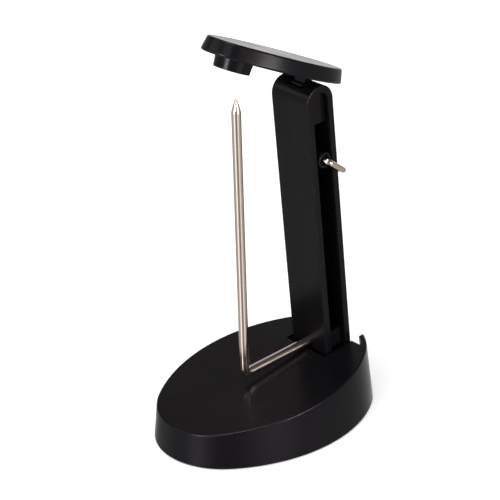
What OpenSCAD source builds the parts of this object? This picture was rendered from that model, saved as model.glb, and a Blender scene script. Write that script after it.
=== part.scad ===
// Receipt holder: a sloping oval base, a column that leans forward over it, a bent wire spike
// that stands in front of the column, and an oval cover that tips forward over the spike's point.
// Frame: the origin is on the ground, in the middle of the oval base.
// +X is to the right, +Y to the rear, +Z up. The spike stands in front of the column, at -Y.

/* [Base] */
// Length of the base at the ground, from front to rear
base_len = 104.9; // [95:0.1:120]
// Width of the base at the ground
base_w = 76.1; // [70:0.1:85]
// Height of the sloping top above the origin
top_h = 21.26; // [17:0.01:26]
// Slope of the top, rising to the rear, in degrees
top_slope = 7.1; // [4:0.1:9]
// Lean of the side walls, as a share of their height
base_draft = 0.105; // [0.02:0.005:0.15]
// Thickness of the side walls
base_wall = 2.5; // [1.5:0.1:3.5]
// Thickness of the top
base_roof = 2.8; // [2:0.1:4]
// Height of the base's lower rim above the ground
rim_z = 0.5; // [0.3:0.1:1]

/* [Open bay at the rear] */
// Length of the bay, from the top plate's straight rear edge to the base's rear end
bay_len = 12.7; // [11:0.1:14]
// Height above the ground of the notch in the rear wall
notch_z = 15; // [8:0.5:18]

/* [Pocket for the column's foot] */
// Depth of the pocket below the top, at the column's middle
pocket_depth = 3; // [2:0.1:4.5]
// Gap at each side of the column's foot
pocket_side_gap = 1.3; // [0.5:0.1:3]
// Gap in front of the column's foot
pocket_front_gap = 2.6; // [1:0.1:4]
// Thickness of the pocket's floor
pocket_floor = 3; // [2:0.1:4]

/* [Column] */
// Width of the column
col_w = 22; // [20:0.5:26]
// Depth of the column from front to back
col_d = 14.3; // [13:0.1:16]
// Height of the column from the pocket's floor to the middle of its round top
col_h = 118.2; // [100:0.5:130]
// Forward lean of the column, in degrees
col_lean = 4.46; // [0:0.1:6]
// Gap from the middle of the column's foot to the base's rear end
col_rear = 18.9; // [17:0.1:20]
// Thickness of the front and back walls
col_wall = 3; // [2:0.1:3.5]
// Thickness of the web between the two side hollows
web_t = 2.6; // [1.6:0.1:4]
// Radius of the rounded long edges
col_edge_r = 0.6; // [0.3:0.1:1]
// Height of the block in the column's foot
foot_h = 10; // [9:0.5:16]
// Depth of the block's faces behind the column's sides
foot_recess = 2.6; // [1:0.1:3]

/* [Hinge] */
// Height of the hinge block's lower edge below the middle of the round top
hinge_drop = 10.1; // [8:0.1:16]
// Depth of the hinge block's faces behind the column's sides
hinge_recess = 2.4; // [1:0.1:3]
// Height of the hinge pin above the middle of the round top
pivot_up = 4.5; // [3.5:0.1:4.8]
// Diameter of the hinge pin
pin_d = 2; // [1.6:0.1:2.4]
// Thickness of plastic that closes the pin's bore on the right
pin_cap = 1; // [0.6:0.1:1.4]
// Width of the slot for the cover's lug
slot_w = 9.8; // [8.5:0.1:11]
// Reach of the slot in front of the pin
slot_front = 4; // [3:0.1:4.4]
// Reach of the slot behind the pin
slot_rear = 3.8; // [3.2:0.1:4.4]
// Depth of the slot below the top of the column
slot_depth = 9; // [7:0.1:11]

/* [Cover] */
// Length of the cover's top outline
cover_len = 68.4; // [60:0.1:76]
// Width of the cover's top outline
cover_w = 34.2; // [28:0.1:40]
// Height of the cover's rim
cover_h = 6.3; // [5:0.1:8]
// Outward flare of the rim from its top to its lower edge
cover_flare = 1.4; // [0.2:0.1:2]
// Thickness of the rim at its lower edge
cover_wall = 1.9; // [1.2:0.1:2.5]
// Lean of the rim's inner face, which lets it leave the mould
cover_inner_lean = 0.5; // [0.1:0.1:1]
// Thickness of the top plate
cover_roof = 2; // [1.2:0.1:3]
// Radius of the rim's rounded edges
cover_edge_r = 0.9; // [0.3:0.1:1]
// Tilt of the open cover, front up, in degrees
cover_tilt = 23.7; // [0:0.1:24]
// Reach of the cover's middle in front of the pin
cover_reach = 19; // [16:0.1:20]
// Height of the rim's lower edge above the pin
cover_rise = 4.7; // [4.3:0.1:6]

/* [Cup and lug under the cover] */
// Diameter of the cup at its mouth
cup_d = 14.9; // [13:0.1:15.5]
// Depth of the cup below the rim
cup_drop = 4.8; // [3:0.1:6]
// Lean of the cup's outer wall, in degrees
cup_draft = 5; // [1:0.5:6]
// Thickness of the cup's wall at its mouth
cup_wall = 0.9; // [0.7:0.1:1.2]
// Reach of the cup's middle in front of the pin
cup_reach = 40; // [39:0.1:41]
// Width of the lug at the rim's lower edge
lug_root_w = 9; // [7:0.1:9.4]
// Width of the lug at the pin
lug_w = 5; // [4:0.1:6]
// Thickness of the lug
lug_t = 3.6; // [2.6:0.1:3.8]
// Diameter of the lug's round end
lug_end_d = 4.8; // [4.2:0.1:5.4]

/* [Spike] */
// Diameter of the spike's wire
wire_d = 4; // [3:0.1:4.4]
// Reach of the spike in front of the middle of the column's foot
spike_reach = 44.4; // [42:0.1:47]
// Height of the spike's point above the ground
tip_z = 148.5; // [140:0.1:148.6]
// Length of the pointed end
tip_len = 6.2; // [4.5:0.1:9]
// Radius of the point's small flat
tip_r = 0.12; // [0.05:0.01:0.3]
// Radius of the bend at the spike's foot, along the wire's middle
bend_r = 2.8; // [2.6:0.1:5]
// Rise of the wire's run towards the column, in degrees
run_rise = 3.6; // [2:0.1:4.4]
// Height of the wire above the pocket's floor, at the column's middle
run_h = 4.7; // [4.4:0.1:6]
// Length of wire inside the column's foot
run_hold = 9; // [5:0.5:11]

/* [Bail] */
// Diameter of the bail's wire
bail_d = 2.6; // [2:0.1:2.8]
// Height of the bail's bosses above the pocket's floor
bail_h = 92.2; // [60:0.1:100]
// Length of the bail's arms, from the bosses' axis to the middle of the crossbar
bail_arm = 11.4; // [11:0.1:16]
// Droop of the arms below the column's own square, in degrees
bail_droop = 40.7; // [38:0.1:43]
// Gap between each arm and the column's side
bail_gap = 0.9; // [0.5:0.1:2]
// Radius of the bail's bends, along the wire's middle
bail_bend_r = 2.1; // [1.8:0.1:3]
// Length of wire inside each boss
bail_hold = 7; // [4:0.5:8]
// Diameter of the bosses
boss_d = 6.7; // [6:0.1:7.2]
// Width of the raised rim around each boss's end
boss_rim = 1.1; // [0.6:0.1:1.4]
// Depth of the dish inside that rim
boss_dish = 1.2; // [0.5:0.1:2]

/* [Screws and feet] */
// Diameter of the screws that hold the column
screw_d = 3; // [2.5:0.1:3.4]
// Length of each screw under its head
screw_len = 10; // [8:0.5:12]
// Diameter of the screw heads
screw_head_d = 5.6; // [5:0.1:6]
// Height of the screw heads
screw_head_h = 2; // [1.6:0.1:2.4]
// Gap from the middle of each screw to the column's side
screw_side = 5.6; // [5.4:0.1:6]
// Diameter of the rubber feet
pad_d = 10; // [8:0.5:12]
// Height of the rubber feet
pad_h = 1.8; // [1.5:0.1:2.5]
// Place of the front feet, as shares of the base's width and length
pad_front = [0.25, -0.29]; // [-0.4:0.01:0.4]
// Place of the rear feet, as shares of the base's width and length
pad_rear = [0.28, 0.26]; // [-0.4:0.01:0.4]
// Width of the post around each foot
pad_lip = 0.6; // [0.4:0.1:1.2]
// Thickness of the stiffening ribs under the top
rib_t = 1.6; // [1:0.1:2.5]
// Depth of those ribs below the top's underside
rib_drop = 4; // [2:0.5:6]
// Place of the long ribs to each side of the middle
rib_x = 10; // [6:0.5:13]

/* [Clearances] */
// Gap around a pin or a bail in its bore, on the radius
running_fit = 0.05; // [0.02:0.01:0.1]
// Gap around a pressed wire or a screw in its hole, on the radius
tight_fit = 0.02; // [0.01:0.01:0.05]
// Gap around a screw in the base's floor, on the radius
loose_fit = 0.3; // [0.2:0.05:0.5]

/* [Hidden] */
big_fn = 144;
small_fn = 48;
// Straight steps in each rounded edge of the cover's section, and in the spike's point
edge_steps = 6;
tip_steps = 5;
// Roundness of the spike's point, as the power in its profile: 1 is a plain cone
tip_power = 1.4;
// Overlap that a cutting shape needs past the surface that it cuts
over = 1;
plastic_black = [0.09, 0.09, 0.1];
steel_warm = [0.78, 0.74, 0.7];
rubber_black = [0.15, 0.15, 0.15];
// Place of the top plate's straight rear edge, and of the column's foot
plate_y = base_len / 2 - bay_len;
col_y = base_len / 2 - col_rear;
spike_y = col_y - spike_reach;
// Height above the ground that is clear of the whole sloping top
sky_z = ceil(top_h + base_len * tan(top_slope));
// Whole-number right triangles that set out the two ovals: the base is blunt, the cover slim
base_triangle = [3, 4, 5];
cover_triangle = [8, 15, 17];
// The column's foot stands on the pocket's floor
col_z = top_h + col_y * tan(top_slope) - pocket_depth;
// Place of the hinge pin in the column's own frame, and then in the part's frame
pivot_h = col_h + pivot_up;
pivot_y = col_y - pivot_h * sin(col_lean);
pivot_z = col_z + pivot_h * cos(col_lean);
// Lean of the cover's rim from the vertical
flare_angle = atan(cover_flare / cover_h);
// Place where the run's middle line meets the spike's
run_y = col_y;
run_z = col_z + run_h;
corner_z = run_z - (run_y - spike_y) * tan(run_rise);
// Length along the run from that corner to the column's front face, and to the wire's end
run_to_face = (run_y - spike_y) / cos(run_rise) - col_d / 2;
run_len = run_to_face + run_hold;
// The bend turns through more than a square corner, because the run rises
bend_turn = 90 + run_rise;
bend_leg = bend_r * tan(bend_turn / 2);
// Place of the screws to each side of the middle, and the size of the cross in their heads
screw_x = col_w / 2 - screw_side;
cross_len = screw_d;
cross_w = screw_d / 5;
cross_depth = screw_head_h / 2;
// Middle of the bail's arms, to each side
bail_x = col_w / 2 + bail_gap + bail_d / 2;

// A solid whose plan is an oval drawn with four arcs, set out with a right triangle [p, q, h]:
// the end arcs' centres lie p units along the length, the side arcs' centres q units along the
// width, and the side arcs' radius is h units more, so that the arcs meet without a corner.
// The child is one arc's whole round solid: it reads the arc's radius from $arc_r.
// The two side solids cross in a lens, whose two points give way to the end solids.
module oval(half_len, half_w, triangle) {
    p = triangle[0];
    q = triangle[1];
    h = triangle[2];
    unit = (half_len - half_w) / (p + q - h);
    end_r = half_len - p * unit;
    difference() {
        intersection() {
            $arc_r = end_r + h * unit;
            translate([-q * unit, 0, 0])
                children();
            translate([q * unit, 0, 0])
                children();
        }
        for (end = [0, 180])
            rotate([0, 0, end])
                translate([0, p * unit, -half_len])
                    linear_extrude(height = 2 * half_len)
                        polygon([[0, 0], half_len * [q, p], half_len * [-q, p]]);
    }
    for (end = [-1, 1]) {
        $arc_r = end_r;
        translate([0, end * p * unit, 0])
            children();
    }
}

// Moves its child from the column's own frame, whose origin is in the middle of the foot
module on_column() {
    translate([0, col_y, col_z])
        rotate([col_lean, 0, 0])
            children();
}

// Moves its child from the open cover's own frame, whose origin is on the hinge pin
module on_cover() {
    translate([0, pivot_y, pivot_z])
        rotate([-cover_tilt, 0, 0])
            children();
}

// A side view, drawn with Y to the right and Z up, given a width from left to right
module across(w) {
    rotate([90, 0, 90])
        linear_extrude(height = w, center = true)
            children();
}

// A round rod from left to right
module rod_x(r, x0, x1) {
    translate([x0, 0, 0])
        rotate([0, 90, 0])
            cylinder(r = r, h = x1 - x0, $fn = small_fn);
}

// The base's drafted oval, taken in from its outside by a wall's thickness
module base_oval(inset, low, high) {
    translate([0, 0, low])
        oval(base_len / 2, base_w / 2, base_triangle)
            cylinder(
                r1 = $arc_r - inset - (low - rim_z) * base_draft,
                r2 = $arc_r - inset - (high - rim_z) * base_draft,
                h = high - low,
                $fn = big_fn
            );
}

// Everything above the sloping top, or above a face that lies under it by a depth
module above_top(depth) {
    translate([0, 0, top_h - depth])
        rotate([top_slope, 0, 0])
            translate([-base_w, -base_len, 0])
                cube([2 * base_w, 2 * base_len, 2 * sky_z]);
}

// Everything behind the top plate's rear edge, or behind a face in front of it
module behind_plate(inset) {
    translate([-base_w, plate_y - inset, -over])
        cube([2 * base_w, base_len, sky_z + 2 * over]);
}

// The notch in the rear wall, as wide as the pocket
module rear_notch() {
    w = col_w + 2 * pocket_side_gap;
    translate([-w / 2, plate_y + over, notch_z])
        cube([w, base_len, sky_z]);
}

// The pocket's space, open to the top and into the bay, grown by a wall on each side and below
module pocket(grow, floor_t) {
    w = col_w + 2 * pocket_side_gap + 2 * grow;
    front = col_d / 2 + pocket_front_gap + grow;
    rear = plate_y - col_y + 2 * over;
    on_column()
        translate([-w / 2, -front, -floor_t])
            cube([w, front + rear, sky_z]);
}

// Places its child at each of the four feet
module at_feet() {
    for (side = [-1, 1], place = [pad_front, pad_rear])
        translate([side * place[0] * base_w, place[1] * base_len, 0])
            children();
}

module base_ribs() {
    rib_low = -base_roof - rib_drop;
    translate([0, 0, top_h])
        rotate([top_slope, 0, 0]) {
            for (side = [-1, 1])
                translate([side * rib_x - rib_t / 2, -base_len / 2, rib_low])
                    cube([rib_t, base_len, sky_z]);
            translate([-base_w / 2, -rib_t / 2, rib_low])
                cube([base_w, rib_t, sky_z]);
        }
}

module base() {
    color(plastic_black)
        difference() {
            base_oval(0, rim_z, sky_z);
            above_top(0);
            difference() {
                base_oval(base_wall, rim_z - over, sky_z);
                above_top(base_roof);
                behind_plate(base_wall);
                pocket(base_wall, pocket_floor);
                base_ribs();
                at_feet()
                    translate([0, 0, pad_h])
                        cylinder(r = pad_d / 2 + pad_lip, h = sky_z, $fn = small_fn);
            }
            intersection() {
                base_oval(base_wall, rim_z - over, sky_z);
                behind_plate(0);
            }
            rear_notch();
            pocket(0, 0);
            for (side = [-1, 1])
                on_column()
                    translate([side * screw_x, 0, -pocket_floor - over])
                        cylinder(r = screw_d / 2 + loose_fit, h = pocket_floor + 2 * over, $fn = small_fn);
        }
}

// Side view of the column, taken in from its outside by a distance
module column_side(inset) {
    translate([inset - col_d / 2, 0])
        square([col_d - 2 * inset, col_h]);
    translate([0, col_h])
        circle(r = col_d / 2 - inset, $fn = big_fn);
}

// A rectangle about the origin with rounded corners
module rounded_rectangle(w, d, r) {
    square([w - 2 * r, d], center = true);
    square([w, d - 2 * r], center = true);
    for (x = [-1, 1], y = [-1, 1])
        translate([x * (w / 2 - r), y * (d / 2 - r)])
            circle(r = r, $fn = small_fn);
}

// The column's outer form: a bar with rounded edges under half of a turned drum
module column_form() {
    linear_extrude(height = col_h)
        rounded_rectangle(col_w, col_d, col_edge_r);
    translate([0, 0, col_h])
        intersection() {
            rotate([0, 90, 0])
                rotate_extrude($fn = big_fn)
                    intersection() {
                        rounded_rectangle(col_d, col_w, col_edge_r);
                        translate([0, -col_w])
                            square([col_d, 2 * col_w]);
                    }
            translate([-col_w, -col_d, 0])
                cube([2 * col_w, 2 * col_d, col_d]);
        }
}

// The hollow in one side of the column, between the foot's block and the hinge's block
module column_hollow() {
    translate([col_w - foot_recess, 0, 0])
        across(col_w)
            translate([col_wall - col_d / 2, -over])
                square([col_d - 2 * col_wall, foot_h + 2 * over]);
    translate([col_w - hinge_recess, 0, 0])
        across(col_w)
            intersection() {
                column_side(col_wall);
                translate([-col_d, foot_h])
                    square([2 * col_d, 2 * col_h]);
            }
    translate([(web_t + col_w) / 2, 0, 0])
        across(col_w)
            translate([col_wall - col_d / 2, foot_h])
                square([col_d - 2 * col_wall, col_h - hinge_drop - foot_h]);
}

// The bosses that carry the bail, one on each side of the web
module bail_bosses() {
    translate([0, 0, bail_h])
        difference() {
            rod_x(boss_d / 2, -col_w / 2, col_w / 2);
            for (side = [0, 180])
                rotate([0, 0, side])
                    rod_x(boss_d / 2 - boss_rim, col_w / 2 - boss_dish, col_w);
        }
}

module column() {
    color(plastic_black)
        difference() {
            on_column()
                difference() {
                    union() {
                        difference() {
                            column_form();
                            for (side = [0, 180])
                                rotate([0, 0, side])
                                    column_hollow();
                        }
                        bail_bosses();
                    }
                    translate([0, 0, bail_h])
                        rod_x(bail_d / 2 + running_fit, -col_w, col_w);
                    translate([-slot_w / 2, -slot_front, col_h + col_d / 2 - slot_depth])
                        cube([slot_w, slot_front + slot_rear, slot_depth + over]);
                    translate([0, 0, pivot_h])
                        rod_x(pin_d / 2 + tight_fit, -col_w, col_w / 2 - hinge_recess - pin_cap);
                    for (side = [-1, 1])
                        translate([side * screw_x, 0, -over])
                            cylinder(r = screw_d / 2 + tight_fit, h = screw_len - pocket_floor + 2 * over, $fn = small_fn);
                }
            wire_run(wire_d / 2 + tight_fit, run_len - bend_leg + tight_fit);
        }
}

// Moves its child to the middle of the bend at the spike's foot, with X to the rear and Y up
module on_bend() {
    translate([0, spike_y + bend_r, corner_z + bend_leg])
        rotate([90, 0, 90])
            children();
}

// The wire's straight run from the bend into the column's foot
module wire_run(r, length) {
    on_bend()
        rotate([0, 0, 180 + bend_turn])
            translate([bend_r, 0, 0])
                rotate([-90, 0, 0])
                    cylinder(r = r, h = length, $fn = small_fn);
}

// Points on the profile of the spike's point, whose radius shrinks faster towards the end
function tip_points(leg) =
    [for (i = [0:tip_steps]) let (t = i / tip_steps) [
        (wire_d / 2 - tip_r) * (1 - pow(t, tip_power)) + tip_r,
        leg - tip_len * (1 - t)
    ]];

module spike() {
    leg = tip_z - corner_z - bend_leg;
    color(steel_warm) {
        wire_run(wire_d / 2, run_len - bend_leg);
        on_bend() {
            rotate([0, 0, 180])
                rotate_extrude(angle = bend_turn, $fn = big_fn)
                    translate([bend_r, 0])
                        circle(r = wire_d / 2, $fn = small_fn);
            translate([-bend_r, 0, 0])
                rotate([-90, 0, 0])
                    rotate_extrude($fn = small_fn)
                        polygon(concat([[0, 0], [wire_d / 2, 0]], tip_points(leg), [[0, leg]]));
        }
    }
}

// Points on an arc, from one angle to another
function arc_points(centre, r, from, to) =
    [for (i = [0:edge_steps]) let (a = from + (to - from) * i / edge_steps) centre + r * [cos(a), sin(a)]];

// One arc's round solid for the cover, with its lower edge at height 0 and both edges rounded.
// Its sharp corners would lie at the arc's radius above and cover_flare outside it below.
module cover_round() {
    low_x = $arc_r + cover_flare - cover_edge_r * tan(45 + flare_angle / 2);
    high_x = $arc_r - cover_edge_r * tan(45 - flare_angle / 2);
    rotate_extrude($fn = big_fn)
        polygon(concat(
            [[0, 0]],
            arc_points([low_x, cover_edge_r], cover_edge_r, -90, flare_angle),
            arc_points([high_x, cover_h - cover_edge_r], cover_edge_r, flare_angle, 90),
            [[0, cover_h]]
        ));
}

// One arc's round solid for the hollow under the cover's plate
module cover_hollow_round() {
    inner_r = $arc_r + cover_flare - cover_wall;
    translate([0, 0, -over])
        cylinder(
            r1 = inner_r,
            r2 = inner_r - cover_inner_lean,
            h = cover_h - cover_roof + over,
            $fn = big_fn
        );
}

// The cover's oval, with the child as one arc's round solid
module cover_oval() {
    translate([0, -cover_reach, cover_rise])
        oval(cover_len / 2, cover_w / 2, cover_triangle)
            children();
}

// The cup's outside: from its mouth up into the plate
module cup_form() {
    rise = cup_drop + cover_h - cover_roof / 2;
    translate([0, -cup_reach, cover_rise - cup_drop])
        cylinder(r1 = cup_d / 2, r2 = cup_d / 2 + rise * tan(cup_draft), h = rise, $fn = small_fn * 2);
}

module cup_hollow() {
    translate([0, -cup_reach, cover_rise - cup_drop - over])
        cylinder(r = cup_d / 2 - cup_wall, h = over + cup_drop + cover_h - cover_roof, $fn = small_fn * 2);
}

// The lug under the cover: a tapered plate with a round end on the hinge pin
module lug_form() {
    top = cover_rise + cover_h - cover_roof / 2;
    widen = (lug_root_w - lug_w) / 2 / cover_rise;
    rotate([90, 0, 0])
        linear_extrude(height = lug_t, center = true)
            polygon([
                [-lug_w / 2, 0],
                [lug_w / 2, 0],
                [lug_w / 2 + top * widen, top],
                [-lug_w / 2 - top * widen, top]
            ]);
    rod_x(lug_end_d / 2, -lug_w / 2, lug_w / 2);
}

module cover() {
    color(plastic_black)
        on_cover()
            difference() {
                union() {
                    difference() {
                        cover_oval()
                            cover_round();
                        cover_oval()
                            cover_hollow_round();
                    }
                    cup_form();
                    lug_form();
                }
                cup_hollow();
                rod_x(pin_d / 2 + running_fit, -col_w, col_w);
            }
}

module hinge_pin() {
    color(steel_warm)
        on_column()
            translate([0, 0, pivot_h])
                rod_x(pin_d / 2, -col_w / 2 + col_edge_r, col_w / 2 - hinge_recess - pin_cap - tight_fit);
}

// Half of the bail, to the right: a stub in the boss, an arm and half of the crossbar
module bail_half() {
    rod_x(bail_d / 2, col_w / 2 - bail_hold, bail_x - bail_bend_r);
    translate([bail_x - bail_bend_r, bail_bend_r, 0])
        rotate([0, 0, -90])
            bail_bend();
    translate([bail_x, bail_bend_r, 0])
        rotate([-90, 0, 0])
            cylinder(r = bail_d / 2, h = bail_arm - 2 * bail_bend_r, $fn = small_fn);
    translate([bail_x - bail_bend_r, bail_arm - bail_bend_r, 0])
        bail_bend();
    translate([0, bail_arm, 0])
        rod_x(bail_d / 2, 0, bail_x - bail_bend_r);
}

module bail_bend() {
    rotate_extrude(angle = 90, $fn = big_fn)
        translate([bail_bend_r, 0])
            circle(r = bail_d / 2, $fn = small_fn);
}

module bail() {
    color(steel_warm)
        on_column()
            translate([0, 0, bail_h])
                rotate([-bail_droop, 0, 0]) {
                    bail_half();
                    mirror([1, 0, 0])
                        bail_half();
                }
}

// A screw from below, with its head under the pocket's floor
module screw(side) {
    color(steel_warm)
        on_column()
            translate([side * screw_x, 0, -pocket_floor])
                difference() {
                    union() {
                        cylinder(r = screw_d / 2, h = screw_len, $fn = small_fn);
                        translate([0, 0, -screw_head_h])
                            cylinder(r = screw_head_d / 2, h = screw_head_h, $fn = small_fn);
                    }
                    for (turn = [0, 90])
                        rotate([0, 0, turn])
                            translate([-cross_len / 2, -cross_w / 2, -screw_head_h - over])
                                cube([cross_len, cross_w, over + cross_depth]);
                }
}

module foot(side, place) {
    color(rubber_black)
        translate([side * place[0] * base_w, place[1] * base_len, 0])
            cylinder(r = pad_d / 2, h = pad_h, $fn = small_fn);
}

base();
column();
cover();
spike();
hinge_pin();
bail();
screw(-1);  // screw_left
screw(1);  // screw_right
foot(-1, pad_front);  // foot_front_left
foot(1, pad_front);  // foot_front_right
foot(-1, pad_rear);  // foot_rear_left
foot(1, pad_rear);  // foot_rear_right
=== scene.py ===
# %% [markdown]
# # A receipt holder, dressed for its picture
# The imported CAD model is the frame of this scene: it says where every piece is and what it
# moves with. Blender adds what the solids leave out, which is rounded moulded edges, the finish
# of the plastic and the shine of the drawn wire. The scene is in metres. The pieces' own sizes
# are written in millimetres, as the product is dimensioned, and MM turns them into metres.

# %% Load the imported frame
import math
import bmesh
import bpy
import numpy as np
from mathutils import Matrix, Vector


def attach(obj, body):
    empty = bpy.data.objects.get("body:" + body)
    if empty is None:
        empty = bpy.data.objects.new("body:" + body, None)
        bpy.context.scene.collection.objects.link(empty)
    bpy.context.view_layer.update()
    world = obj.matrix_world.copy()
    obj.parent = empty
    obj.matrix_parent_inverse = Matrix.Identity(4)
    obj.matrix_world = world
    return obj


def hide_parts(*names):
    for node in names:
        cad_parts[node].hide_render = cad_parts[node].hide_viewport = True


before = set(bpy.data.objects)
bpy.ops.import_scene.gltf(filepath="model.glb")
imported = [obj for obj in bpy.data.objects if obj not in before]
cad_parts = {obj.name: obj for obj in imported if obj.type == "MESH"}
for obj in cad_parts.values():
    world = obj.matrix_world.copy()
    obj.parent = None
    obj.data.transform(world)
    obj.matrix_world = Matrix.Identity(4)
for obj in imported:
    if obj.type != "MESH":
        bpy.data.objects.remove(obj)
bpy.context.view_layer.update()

MM = 0.001

# %% [markdown]
# ## The camera
# The picture was taken from the front right and from above, with a long lens. A camera could be
# turned by hand until the outlines agree. Here its three directions, its own X to the right of
# the picture, its Y up and its Z back towards the photographer, are worked out from an azimuth,
# an elevation and a small roll, because such numbers can be fitted one at a time.

# %% Place the camera
AZIMUTH, ELEVATION, ROLL = np.radians([50.09, 25.32, -1.763])
DISTANCE = 839.4 * MM
AIM = np.array([-38.98, 26.75, 56.5]) * MM
FOCAL_LENGTH, SENSOR = 136.8, 36.0
SEES_AS_FAR_AS = 20.0

back = np.array([
    math.sin(AZIMUTH) * math.cos(ELEVATION),
    -math.cos(AZIMUTH) * math.cos(ELEVATION),
    math.sin(ELEVATION),
])
level_right = np.array([math.cos(AZIMUTH), math.sin(AZIMUTH), 0.0])
level_up = np.cross(back, level_right)
camera_x = level_right * math.cos(ROLL) + level_up * math.sin(ROLL)
camera_y = level_up * math.cos(ROLL) - level_right * math.sin(ROLL)

camera_data = bpy.data.cameras.new("camera")
camera_data.lens = FOCAL_LENGTH
camera_data.sensor_width = SENSOR
camera_data.clip_end = SEES_AS_FAR_AS
camera = bpy.data.objects.new("camera", camera_data)
axes = np.eye(4)
axes[:3, :4] = np.stack([camera_x, camera_y, back, AIM + back * DISTANCE], axis=1)
camera.matrix_world = Matrix(axes.tolist())
bpy.context.scene.collection.objects.link(camera)
bpy.context.scene.camera = camera
print("camera stands at", np.round(axes[:3, 3], 3))

# %% [markdown]
# ## Making surfaces from arrays
# Every moulded form here could be pushed into shape from a cube. It is a stack of rings instead:
# one ring is a closed outline with the same number of points as the next, and the walls are the
# four-sided faces between neighbours. The whole stack is one array of shape (rings, points, 3),
# so that every wall stays exactly on its drawing and no point is placed by hand.

# %% A closed solid from a stack of rings
def grid_faces(rows, columns):
    """Corner numbers of the faces of a grid whose last column joins its first.
    The face at (r, c) has the corners (r, c), (r, c + 1), (r + 1, c + 1) and (r + 1, c)."""
    r, c = np.meshgrid(np.arange(rows - 1), np.arange(columns), indexing="ij")
    beside = (c + 1) % columns
    corners = [r * columns + c, r * columns + beside, (r + 1) * columns + beside, (r + 1) * columns + c]
    return np.stack(corners, axis=-1).reshape(-1, 4)


def solid(name, rings):
    """A closed solid: side faces between the rings, and one flat face over each end ring."""
    rows, columns, _ = rings.shape
    faces = grid_faces(rows, columns).tolist()
    faces.append(list(range(columns)))
    faces.append(list(range((rows - 1) * columns, rows * columns)))
    mesh = bpy.data.meshes.new(name)
    mesh.from_pydata((rings.reshape(-1, 3) * MM).tolist(), [], faces)
    shell = bmesh.new()
    shell.from_mesh(mesh)
    bmesh.ops.recalc_face_normals(shell, faces=shell.faces[:])
    shell.to_mesh(mesh)
    shell.free()
    piece = bpy.data.objects.new(name, mesh)
    bpy.context.scene.collection.objects.link(piece)
    return piece


print("faces of a ring pair with 4 points:", len(grid_faces(2, 4)))

# %% [markdown]
# The simpler solids come from the same maker: a prism moves one outline along an axis, and a
# turned piece sweeps a profile of radius and height about an axis. Blender has its own cubes and
# cylinders, but these land straight in the product's millimetres with no scale left on them.

# %% Prisms, turned pieces and how they are placed
def prism_x(name, outline, x_low, x_high):
    """The outline's (y, z) points at two places on the X axis."""
    ends = [np.column_stack([np.full(len(outline), x), outline]) for x in (x_low, x_high)]
    return solid(name, np.stack(ends))


def block(name, low, high):
    """A box from its lowest to its highest corner: a rectangle of (y, z) points moved along X."""
    y, z = (low[1], high[1]), (low[2], high[2])
    outline = np.array([[y[0], z[0]], [y[1], z[0]], [y[1], z[1]], [y[0], z[1]]])
    return prism_x(name, outline, low[0], high[0])


def turned(name, profile, centre, along="z", points=72):
    """Point = centre + radius * (cos a, sin a) across the axis + height along it,
    for each (radius, height) of the profile and each angle a of a full turn."""
    a = np.linspace(0, 2 * np.pi, points, endpoint=False)
    radius, height = np.array(profile, float)[:, 0:1], np.array(profile, float)[:, 1:2]
    across = [radius * np.cos(a), radius * np.sin(a)]
    lengthways = height + 0 * a
    order = {"z": [across[0], across[1], lengthways], "x": [lengthways, across[0], across[1]]}
    return solid(name, np.stack(order[along], axis=-1) + np.array(centre, float))


def rod_x(name, radius, x_low, x_high, z):
    """A plain round rod along X at height z of the frame it is drawn in."""
    return turned(name, [(radius, x_low), (radius, x_high)], (0, 0, z), along="x")


def place(piece, origin, tilt):
    """Moves a mesh from a leaning frame: turned by the tilt about X, then carried to the origin."""
    piece.data.transform(Matrix.Translation(Vector(origin) * MM) @ Matrix.Rotation(tilt, 4, "X"))
    return piece


print("makers:", [maker.__name__ for maker in (prism_x, block, turned, rod_x)])

# %% [markdown]
# ## Cutting and joining
# A moulded part is easiest to describe as the toolmaker sees it: a plain outer form, minus the
# cores that make its hollows, plus its bosses. Each hollow could be modelled face by face, but
# the Boolean modifier does it with closed solids and keeps every size a number. Each result is
# made final at once, so that the finished piece has no live modifiers.

# %% Boolean helpers
def apply_modifiers(piece):
    """Replaces the piece's mesh with what its modifiers make of it."""
    bpy.context.view_layer.update()
    graph = bpy.context.evaluated_depsgraph_get()
    final = bpy.data.meshes.new_from_object(piece.evaluated_get(graph))
    piece.modifiers.clear()
    piece.data = final
    final.name = piece.name
    return piece


def combine(piece, operation, tools):
    """Cuts every tool out of the piece, or joins them to it, and throws the tools away."""
    for tool in tools:
        step = piece.modifiers.new("combine", "BOOLEAN")
        step.operation, step.solver, step.object = operation, "EXACT", tool
        apply_modifiers(piece)
        bpy.data.objects.remove(tool)
    return piece


def cut(piece, *tools):
    """Takes the tools' space out of the piece."""
    return combine(piece, "DIFFERENCE", tools)


def join(piece, *tools):
    """Adds the tools' material to the piece."""
    return combine(piece, "UNION", tools)


print("a piece is cut or joined with", combine.__name__)

# %% [markdown]
# ## Softened edges
# No moulded edge is knife sharp, and it is the thin highlight along an edge that tells the eye
# how big a thing is. A shader can fake that light, but the mesh would stay sharp, so the edges
# are rounded in the geometry. Flat regions are merged into single faces first, so that the Bevel
# modifier only meets real edges. Weighted normals then keep the large faces flat in the light.
# The narrow faces that the bevel leaves are marked in an attribute, which the materials read.

# %% Round the edges and mark them
FLAT_WITHIN, BEVEL_ABOVE = math.radians(0.15), math.radians(35.0)
SMOOTH_BELOW, WIRE_SMOOTH_BELOW = math.radians(40.0), math.radians(50.0)
BEVEL_STEPS, NARROW_SHARE = 3, 0.6


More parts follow.
